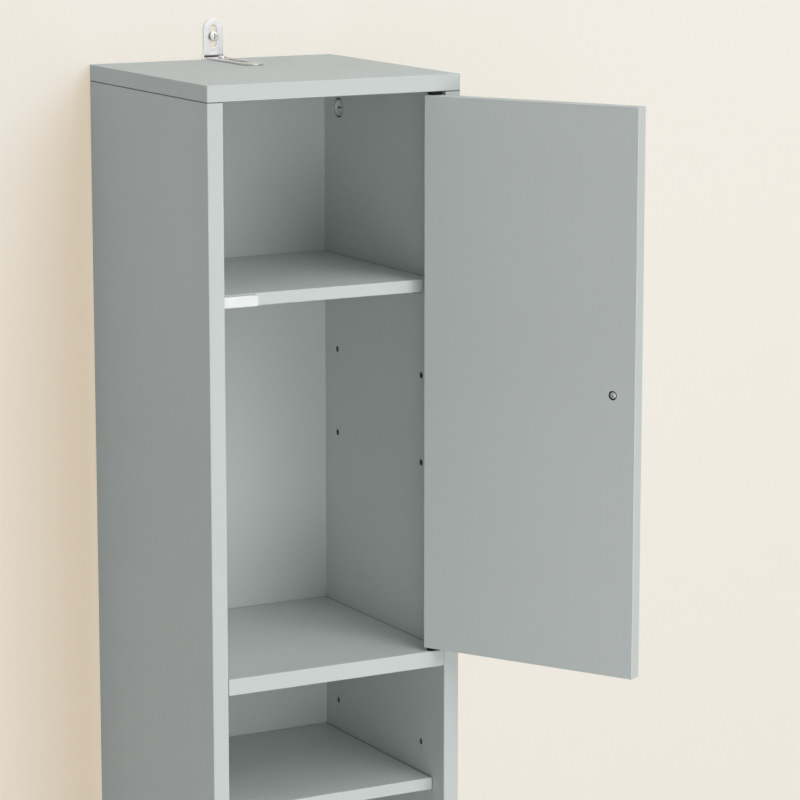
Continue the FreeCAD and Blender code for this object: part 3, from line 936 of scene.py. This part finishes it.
@dataclass
class ShelfPins:
    """Plated pegs with a half-round seat under each adjustable shelf."""

    finishes: Finishes
    peg_radius: float = 2.5
    peg_length: float = 8.0
    seat_radius: float = 4.0
    seat_length: float = 9.0
    facets: int = 32

    def one(self, mouth: Vector, outwards: int) -> Blank:
        """One pin.

        Args:
            mouth: Where its axis meets the side panel's face.
            outwards: The sign of X into the panel.

        Returns:
            The pin in place.
        """
        axis = (outwards, 0, 0)
        peg = Blank.turned(
            [(0, 0), (self.peg_radius, 0), (self.peg_radius, self.peg_length), (0, self.peg_length)],
            rounding=0.5, steps=self.facets,
        )
        seat = Blank.turned(
            [(0, -self.seat_length), (self.seat_radius, -self.seat_length), (self.seat_radius, 0), (0, 0)],
            rounding=0.6, steps=self.facets,
        )
        seat.aim(mouth, axis).slice(mouth, (0, 0, 1))
        return seat.take(peg.aim(mouth, axis))

    def build(self) -> None:
        """Sets four pins under each adjustable shelf."""
        inner_x = corners_mm("right_side_panel")[0].x
        for section in ("upper", "middle", "lower"):
            seat_z = corners_mm(f"{section}_adjustable_shelf")[0].z
            low, high = corners_mm(f"{section}_shelf_pins")
            pins = Blank()
            for sign in (-1, 1):
                for line in (low.y + self.seat_radius, high.y - self.seat_radius):
                    pins.take(self.one(Vector((sign * inner_x, line, seat_z)), sign))
            pins.fit(f"{section}_shelf_pins", "plated", self.finishes.pin, Slot.PIN)


@dataclass
class DoorStops:
    """White blocks on the front edge of the cupboard shelves."""

    finishes: Finishes
    rounding: float = 0.7

    def build(self) -> None:
        """Makes both blocks."""
        for section in ("upper", "lower"):
            node = f"{section}_door_stop"
            block = Blank.block(*corners_mm(node), self.rounding)
            block.fit(node, "moulded", self.finishes.stop, Slot.STOP)


@dataclass
class Pivots:
    """Black collared pins that the doors turn on."""

    finishes: Finishes
    pin_radius: float = 2.0
    collar_radius: float = 5.0
    collar: float = 2.2
    root: float = 8.0
    reach: float = 14.2
    rounding: float = 0.25

    def build(self) -> None:
        """Makes the top and bottom pivot of each door."""
        outline = [
            (0, -self.root), (self.pin_radius, -self.root), (self.pin_radius, 0), (self.collar_radius, 0),
            (self.collar_radius, self.collar), (self.pin_radius, self.collar), (self.pin_radius, self.reach),
            (0, self.reach),
        ]
        for door in ("upper", "lower"):
            hinge = Swing.at_rest(f"{door}_door_hinge").pivot / MM
            for end, sign in (("top", -1), ("bottom", 1)):
                node = f"{door}_door_{end}_pivot"
                low, high = corners_mm(node)
                face = low.z + self.root if sign > 0 else high.z - self.root
                pivot = Blank.turned(outline, self.rounding, steps=40)
                pivot.aim((hinge.x, hinge.y, face), (0, 0, sign))
                pivot.slice((hinge.x, low.y, face), (0, -1, 0))
                pivot.fit(node, "moulded", self.finishes.pivot, Slot.PIVOT)


@dataclass
class FootGlides:
    """Push-in glides under the side panels."""

    finishes: Finishes
    radius: float = 5.0
    height: float = 3.0
    stem_radius: float = 1.5
    stem: float = 10.0
    rounding: float = 0.5

    def build(self) -> None:
        """Makes the four glides."""
        low, high = corners_mm("foot_glides")
        top = self.height + self.stem
        outline = [
            (0, 0), (self.radius - 0.6, 0), (self.radius, 0.7), (self.radius, self.height),
            (self.stem_radius, self.height), (self.stem_radius, top), (0, top),
        ]
        glides = Blank()
        for x in (low.x + self.radius, high.x - self.radius):
            for y in (low.y + self.radius, high.y - self.radius):
                glides.take(Blank.turned(outline, self.rounding, steps=32).aim((x, y, 0), (0, 0, 1)))
        glides.fit("foot_glides", "moulded", self.finishes.glide, Slot.GLIDE)


@dataclass
class DoorLeaf:
    """A door board with its turned knob and the screw in its counterbore."""

    finishes: Finishes
    section: str
    body: Body
    knob_from_edge: float = 18.0
    counterbore: float = 3.0
    screw_radius: float = 1.75
    head_radius: float = 2.5
    head_height: float = 2.7
    thread_depth: float = 9.0
    knob_outline: Outline = (
        (0, 0), (6.1, 0), (6.5, 0.1), (6.5, 1.3), (5.9, 1.8), (4.9, 2.2), (4.4, 4.0), (4.5, 5.8), (6.1, 8.4),
        (8.9, 9.8), (9.8, 10.6), (10.0, 11.9), (9.9, 13.2), (9.2, 14.8), (7.3, 16.5), (4.6, 17.55),
        (2.0, 17.95), (0, 18.0),
    )

    def build(self) -> None:
        """Dresses the board and makes the knob and its screw."""
        swing = Swing.at_rest(f"{self.section}_door_hinge")
        place = BoardPlace.of(f"{self.section}_door", swing)
        dress(place.node, self.finishes.board.material(place))
        low, high = (place.middle - place.half) / MM, (place.middle + place.half) / MM
        seat = Vector((low.x + self.knob_from_edge, low.y, (low.z + high.z) / 2))
        self.knob(seat, swing)
        self.screw(seat, high.y - low.y, swing)

    def knob(self, seat: Vector, swing: Swing) -> None:
        """Turns the knob.

        Args:
            seat: The middle of its foot with the door shut.
            swing: How the door stands.
        """
        knob = Blank.turned(self.knob_outline, steps=40).aim(seat, (0, -1, 0))
        finish = self.finishes.nickel.material(seat * MM, swing)
        piece = knob.fit(f"{self.section}_door_knob", "turned", finish, Slot.NICKEL, self.body, swing)
        piece.modifiers.clear()
        rounded = piece.modifiers.new("rounded", "SUBSURF")
        rounded.levels = rounded.render_levels = 2

    def screw(self, seat: Vector, thickness: float, swing: Swing) -> None:
        """Makes the screw that holds the knob.

        Args:
            seat: The middle of the knob's foot with the door shut.
            thickness: Of the door.
            swing: How the door stands.
        """
        grip = thickness - self.counterbore
        tip = -grip - self.thread_depth
        edge, crown = self.head_radius, self.head_height
        screw = Blank.turned(
            [
                (0, tip), (self.screw_radius, tip), (self.screw_radius, 0), (edge, 0),
                (edge, crown - 0.75), (edge - 0.3, crown - 0.35), (edge - 1.0, crown - 0.09), (0, crown),
            ],
            rounding=0.15,
        )
        screw.recess(length=3.2, width=0.9, depth=1.1).aim(seat + Vector((0, grip, 0)), (0, 1, 0))
        finish = self.finishes.knob_screw
        screw.fit(f"{self.section}_knob_screw", "plated", finish, Slot.SCREW, self.body, swing)


@dataclass
class WallBracket:
    """The bent anti-tip bracket, the screw into the top panel and the screw into the wall."""

    finishes: Finishes
    thickness: float = 1.5
    bend: float = 1.2
    slot_width: float = 5.4
    tip_margin: float = 15.0
    screw_from_wall: float = 16.0
    screw_margin: float = 7.0
    wall_slot: float = 16.8
    wall_slot_margin: float = 4.6
    easing: float = 0.22
    bend_steps: int = 12
    top_screw: Outline = (
        (0, -8.0), (1.5, -8.0), (1.5, 0), (3.2, 0), (3.2, 0.9), (2.7, 1.5), (1.8, 1.75), (0, 1.8),
    )
    wall_screw: Outline = (
        (0, -31.5), (1.35, -27.6), (1.35, -3.4), (2.0, -2.0), (2.0, 0.5), (3.6, 0.65), (3.7, 0.8),
        (3.7, 1.6), (3.3, 1.92), (0, 2.0),
    )

    def build(self) -> None:
        """Makes the strip, the pan-head screw on its flat leg and the threaded one into the wall."""
        low, high = corners_mm("wall_bracket")
        self.strip(low, high)
        middle_x = (low.x + high.x) / 2
        screw = Blank.turned(self.top_screw, rounding=0.12).recess(length=3.6, width=0.9, depth=1.1)
        screw.aim((middle_x, high.y - self.screw_from_wall, low.z + self.thickness), (0, 0, 1))
        screw.fit("bracket_screw", "plated", self.finishes.screw, Slot.SCREW)
        screw = Blank.turned(self.wall_screw, rounding=0.08)
        screw.recess(length=3.8, width=0.95, depth=1.3, taper=0.2)
        screw.thread(radius=1.35, height=0.6, pitch=1.9, start=-27.0, turns=11)
        wall_z = high.z - self.wall_slot_margin - self.wall_slot / 2
        screw.aim((middle_x, high.y - self.thickness, wall_z), (0, -1, 0))
        screw.fit("wall_screw", "threaded", self.finishes.screw, Slot.SCREW)

    def _loop(self, strip: Blank, width: float, start: float, end: float) -> None:
        """Draws a round-ended outline along +Y.

        Args:
            strip: Takes the outline.
            width: Across it.
            start: Its near end.
            end: Its far end.
        """
        sides = 40
        ring = bmesh.ops.create_circle(strip.bm, cap_ends=False, radius=width / 2, segments=sides)["verts"]
        half_step = Matrix.Rotation(math.pi / sides, 3, "Z")
        bmesh.ops.rotate(strip.bm, verts=ring, cent=(0, 0, 0), matrix=half_step)
        far = [vertex for vertex in ring if vertex.co.y > 0]
        near = [vertex for vertex in ring if vertex.co.y <= 0]
        bmesh.ops.translate(strip.bm, verts=far, vec=(0, end - width / 2, 0))
        bmesh.ops.translate(strip.bm, verts=near, vec=(0, start + width / 2, 0))

    def strip(self, low: Vector, high: Vector) -> None:
        """Cuts the flat strip with its slots, bends it and eases its edges.

        Args:
            low: The node's lowest corner.
            high: The node's highest corner.
        """
        outer = self.bend + self.thickness
        middle = self.bend + self.thickness / 2
        flat = high.y - outer - low.y
        arc = middle * math.pi / 2
        length = flat + arc + high.z - low.z - outer
        peak = length - self.wall_slot_margin
        screw_y = high.y - self.screw_from_wall - low.y

        middle_x = (low.x + high.x) / 2
        strip = Blank()
        self._loop(strip, high.x - low.x, 0.0, length)
        self._loop(strip, self.slot_width, self.tip_margin, screw_y - self.screw_margin)
        self._loop(strip, self.slot_width, peak - self.wall_slot, peak)
        bmesh.ops.triangle_fill(strip.bm, edges=strip.bm.edges, use_beauty=True, use_dissolve=False)
        for step in range(self.bend_steps + 1):
            strip.cut(strip.everything(), (0, flat + arc * step / self.bend_steps, 0), (0, 1, 0))
        raised = bmesh.ops.extrude_face_region(strip.bm, geom=strip.bm.faces[:])["geom"]
        top = [item for item in raised if isinstance(item, bmesh.types.BMVert)]
        bmesh.ops.translate(strip.bm, vec=(0, 0, self.thickness), verts=top)
        strip.close().ease(self.easing, segments=2, sharper_than=60.0)
        for vertex in strip.bm.verts:
            along, lift = vertex.co.y, vertex.co.z
            turn = min(max((along - flat) / middle, 0.0), math.pi / 2)
            reach = outer - lift
            vertex.co.y = low.y + min(along, flat) + reach * math.sin(turn)
            vertex.co.z = low.z + outer - reach * math.cos(turn) + max(0.0, along - flat - arc)
        bmesh.ops.translate(strip.bm, vec=(middle_x, 0, 0), verts=strip.bm.verts)
        bmesh.ops.recalc_face_normals(strip.bm, faces=strip.bm.faces)
        # the bend's inner curve, where the metal's band of painted shade is centred
        inside = (1 - math.sqrt(0.5)) * self.bend + self.thickness
        bend_shade_at = Vector((middle_x, high.y - inside, low.z + inside))
        finish = self.finishes.bracket.material(bend_shade_at * MM)
        strip.fit("wall_bracket", "pressed", finish, Slot.BRACKET)


# Studio


@dataclass(frozen=True)
class SoftLamp:
    """A round soft lamp, which may be flagged off the floor and the wall."""

    name: str
    place: tuple[float, float, float]
    power: float
    size: float = 1.8
    flagged: bool = False

    def hang(self, aim_at: Vector, stage: bpy.types.Collection) -> None:
        """Hangs the lamp.

        Args:
            aim_at: The point that it is turned to.
            stage: The floor and the wall, which a flagged lamp doesn't light.
        """
        lamp = bpy.data.lights.new(self.name, "AREA")
        lamp.shape = "DISK"
        lamp.size = self.size
        lamp.energy = self.power
        holder = bpy.data.objects.new(self.name, lamp)
        holder.location = self.place
        holder.rotation_euler = (aim_at - Vector(self.place)).to_track_quat("-Z", "Y").to_euler()
        holder.visible_camera = False
        if self.flagged:
            holder.light_linking.receiver_collection = stage
        bpy.context.scene.collection.objects.link(holder)


@dataclass
class Studio:
    """A plain pale floor and wall, soft lamps, and the camera."""

    half_size: float = 15.0
    wall_y: float = 0.1042
    wall_paint: Colour = (0.556, 0.711, 0.832)
    wall_glow: Colour = (0.414, 0.245, 0.070)
    wall_bounce: Colour = (0.72, 0.72, 0.72)
    openings: tuple[Sequence[float], ...] = ((0.0, 0.0995, 1.1995), (0.0025, 0.0105, 1.2325))
    floor_colour: Colour = (0.80, 0.78, 0.73)
    floor_glow: float = 0.78
    floor_shading: float = 0.3
    backdrop: Colour = (0.871, 0.831, 0.745)
    ambient: Colour = (0.179, 0.189, 0.204)
    lamps: tuple[SoftLamp, ...] = (
        SoftLamp("high_key_lamp", (1.0, -3.2, 3.1), 46.9, 2.6),
        SoftLamp("low_key_lamp", (1.25, -4.4, 1.6), 34.1, 3.0),
        SoftLamp("fill_lamp", (-1.0, -3.8, 1.2), 13.0),
        SoftLamp("near_fill_lamp", (-0.5, -1.6, 0.5), 5.1, 0.9, flagged=True),
        SoftLamp("top_lamp", (0.2, -1.2, 3.8), 18.3),
        SoftLamp("rear_lamp", (0.0, 3.2, 0.7), 45.0, 0.8, flagged=True),
    )
    aim_at: Vector = field(default_factory=lambda: Vector((0.0, 0.0, 0.9)))
    eye: Vector = field(default_factory=lambda: Vector((-1.0901, -2.1756, 1.4061)))
    yaw: float = 28.7986
    pitch: float = 10.4866
    lens: float = 150.80
    sensor: float = 36.0
    far: float = 100.0

    def build(self) -> None:
        """Sets up the stage, the light and the camera."""
        upright = Matrix.Translation((0, self.wall_y, 0)) @ Matrix.Rotation(math.pi / 2, 4, "X")
        stage = bpy.data.collections.new("stage")
        stage.objects.link(self.sheet("studio_floor", Matrix.Identity(4), self.floor()))
        stage.objects.link(self.sheet("studio_wall", upright, self.wall()))
        for sheet in stage.collection_objects:
            sheet.light_linking.link_state = "EXCLUDE"
        for lamp in self.lamps:
            lamp.hang(self.aim_at, stage)
        self.world()
        self.camera()
        bpy.context.scene.view_settings.view_transform = "Standard"

    def sheet(self, name: str, place: Matrix, finish: bpy.types.Material) -> bpy.types.Object:
        """Makes one large plain sheet of the stage.

        Args:
            name: Its name.
            place: Where it stands.
            finish: Its material.

        Returns:
            The sheet.
        """
        bm = bmesh.new()
        bmesh.ops.create_grid(bm, x_segments=1, y_segments=1, size=self.half_size)
        bmesh.ops.transform(bm, matrix=place, verts=bm.verts)
        mesh = bpy.data.meshes.new(name)
        bm.to_mesh(mesh)
        bm.free()
        mesh.materials.append(finish)
        sheet = bpy.data.objects.new(name, mesh)
        bpy.context.scene.collection.objects.link(sheet)
        return sheet

    def floor(self) -> bpy.types.Material:
        """Makes the floor's pale matt finish, which shows the object's shadow under an even tone.

        Returns:
            The material.
        """
        tree = ShaderTree.named("pale_floor")
        cloud = tree.noise(tree.place(), 1.5, 3.0)
        colour = tree.blend(cloud, self.floor_colour, toned(self.floor_colour, 0.97))
        matt = tree.add("ShaderNodeBsdfDiffuse", sockets={"Color": colour})
        glow = tree.add("ShaderNodeEmission", sockets={"Color": colour, "Strength": self.floor_glow})
        thin = tree.add("ShaderNodeMixShader", sockets={0: self.floor_shading, 2: matt})
        shown = tree.add("ShaderNodeAddShader", sockets={0: thin, 1: glow})
        seen = tree.backdrop_rays()
        return tree.close(tree.add("ShaderNodeMixShader", sockets={0: seen, 1: matt, 2: shown}))

    def wall(self) -> bpy.types.Material:
        """Makes the wall's warm paint.

        It shows the shadows from the front and shades the sides of the cabinet. It is clear from behind and
        in reflections, and open to light behind the cabinet and its bracket.

        Returns:
            The material.
        """
        tree = ShaderTree.named("warm_wall")
        behind = tree.add("ShaderNodeNewGeometry", output="Backfacing")
        camera = tree.rays("Camera")
        x, _, z = tree.split(tree.place())
        beside = (1 - behind) * (1 - tree.rays("Glossy"))
        for middle, half_width, top in self.openings:
            aside = abs(x - middle).rise(half_width, half_width + MM / 2)
            beside = beside * aside.most(z.rise(top, top + MM / 2))
        paint = tree.add("ShaderNodeBsdfDiffuse", sockets={"Color": (*self.wall_paint, 1.0)})
        glow = tree.add("ShaderNodeEmission", sockets={"Color": (*self.wall_glow, 1.0), "Strength": 1.0})
        warm = tree.add("ShaderNodeAddShader", sockets={0: paint, 1: glow})
        plain = tree.add("ShaderNodeBsdfDiffuse", sockets={"Color": (*self.wall_bounce, 1.0)})
        either = tree.add("ShaderNodeMixShader", sockets={0: camera, 1: plain, 2: warm})
        clear = tree.add("ShaderNodeBsdfTransparent")
        solid = (camera * (1 - behind)).most(beside)
        return tree.close(tree.add("ShaderNodeMixShader", sockets={0: solid, 1: clear, 2: either}))

    def world(self) -> None:
        """Gives even light all round, behind a pale backdrop."""
        tree = ShaderTree(bpy.data.worlds.new("studio_world"))
        colour = tree.blend(tree.backdrop_rays(), self.ambient, self.backdrop)
        shown = tree.add("ShaderNodeBackground", sockets={"Color": colour, "Strength": 1.0})
        bpy.context.scene.world = tree.close(shown, "ShaderNodeOutputWorld")

    def camera(self) -> None:
        """Stands the camera at the photograph's viewing angle."""
        lens = bpy.data.cameras.new("camera")
        lens.lens = self.lens
        lens.sensor_width = self.sensor
        lens.clip_end = self.far
        camera = bpy.data.objects.new("camera", lens)
        camera.location = self.eye
        camera.rotation_euler = (math.radians(90.0 - self.pitch), 0.0, -math.radians(self.yaw))
        bpy.context.scene.collection.objects.link(camera)
        bpy.context.scene.camera = camera


def main() -> None:
    """Builds the cabinet's looks and the studio."""
    logging.basicConfig(level=logging.INFO, format="%(name)s: %(message)s")
    finishes = Finishes()
    assemblies = (
        Carcass(finishes),
        CamLocks(finishes),
        ShelfPins(finishes),
        DoorStops(finishes),
        Pivots(finishes),
        FootGlides(finishes),
        DoorLeaf(finishes, "upper", Body.UPPER_LEAF),
        DoorLeaf(finishes, "lower", Body.LOWER_LEAF),
        WallBracket(finishes),
        Studio(),
    )
    for assembly in assemblies:
        log.info("building %s", type(assembly).__name__)
        assembly.build()


if __name__ == "__main__":
    main()
